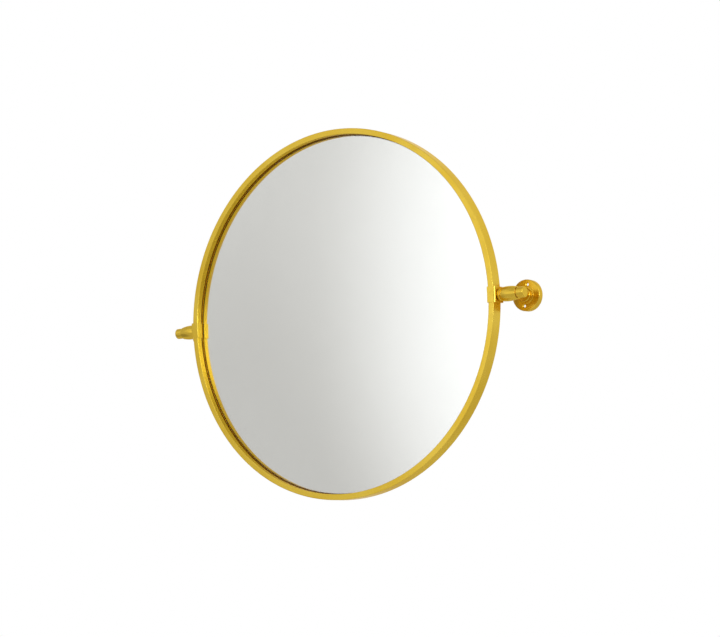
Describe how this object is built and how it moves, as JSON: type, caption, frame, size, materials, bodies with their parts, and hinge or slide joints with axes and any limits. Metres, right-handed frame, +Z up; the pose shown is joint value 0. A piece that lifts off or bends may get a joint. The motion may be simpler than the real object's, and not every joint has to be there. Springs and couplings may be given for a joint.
{
  "type": "pivot wall mirror",
  "caption": "Round wall mirror in a slim deep satin gold rim, tilting on a horizontal axis between two turned wall brackets with round plates.",
  "frame": {"origin": "on the wall plane, midway between the two wall plates, at the height of the pivot axis", "axes": "+X to the right along the pivot axis as seen from the room, +Y into the wall, +Z up; the mirror faces -Y"},
  "size_m": [0.7094, 0.0677, 0.61],
  "materials": {
    "gold_rim": "satin gold plating over a steel tube, brushed along the rim",
    "gold_turned": "satin gold plating over turned steel",
    "mirror_glass": "silvered float glass, flat edge",
    "fibreboard": "bare medium density fibreboard",
    "foam_tape": "white double-sided foam tape",
    "zinc_steel": "bright zinc plating",
    "nylon": "black nylon"
  },
  "bodies": {
    "wall_brackets": {"wall_plate_right": "gold_turned", "wall_plate_left": "gold_turned", "post_right": "gold_turned", "post_left": "gold_turned", "post_screw_right": "zinc_steel", "post_screw_left": "zinc_steel", "barrel_right": "gold_turned", "barrel_left": "gold_turned", "end_cap_right": "gold_turned", "end_cap_left": "gold_turned", "pivot_bush_right": "nylon", "pivot_bush_left": "nylon"},
    "mirror": {"rim_frame": "gold_rim", "mirror_glass": "mirror_glass", "bonding_tape": "foam_tape", "backing_board": "fibreboard", "board_screws": "zinc_steel", "saddle_right": "gold_rim", "saddle_left": "gold_rim", "saddle_strap_right": "gold_rim", "saddle_strap_left": "gold_rim", "strap_screws_right": "gold_turned", "strap_screws_left": "gold_turned", "pivot_bolt_right": "zinc_steel", "pivot_bolt_left": "zinc_steel", "flat_washer_right": "zinc_steel", "flat_washer_left": "zinc_steel", "disc_spring_right": "zinc_steel", "disc_spring_left": "zinc_steel", "lock_nut_right": "zinc_steel", "lock_nut_left": "zinc_steel"}
  },
  "joints": [
    {"name": "mirror_tilt", "type": "hinge", "parent": "wall_brackets", "child": "mirror", "pos_m": [0, -0.0494, 0], "axis": [1, 0, 0], "range_deg": [-8, 8]}
  ]
}
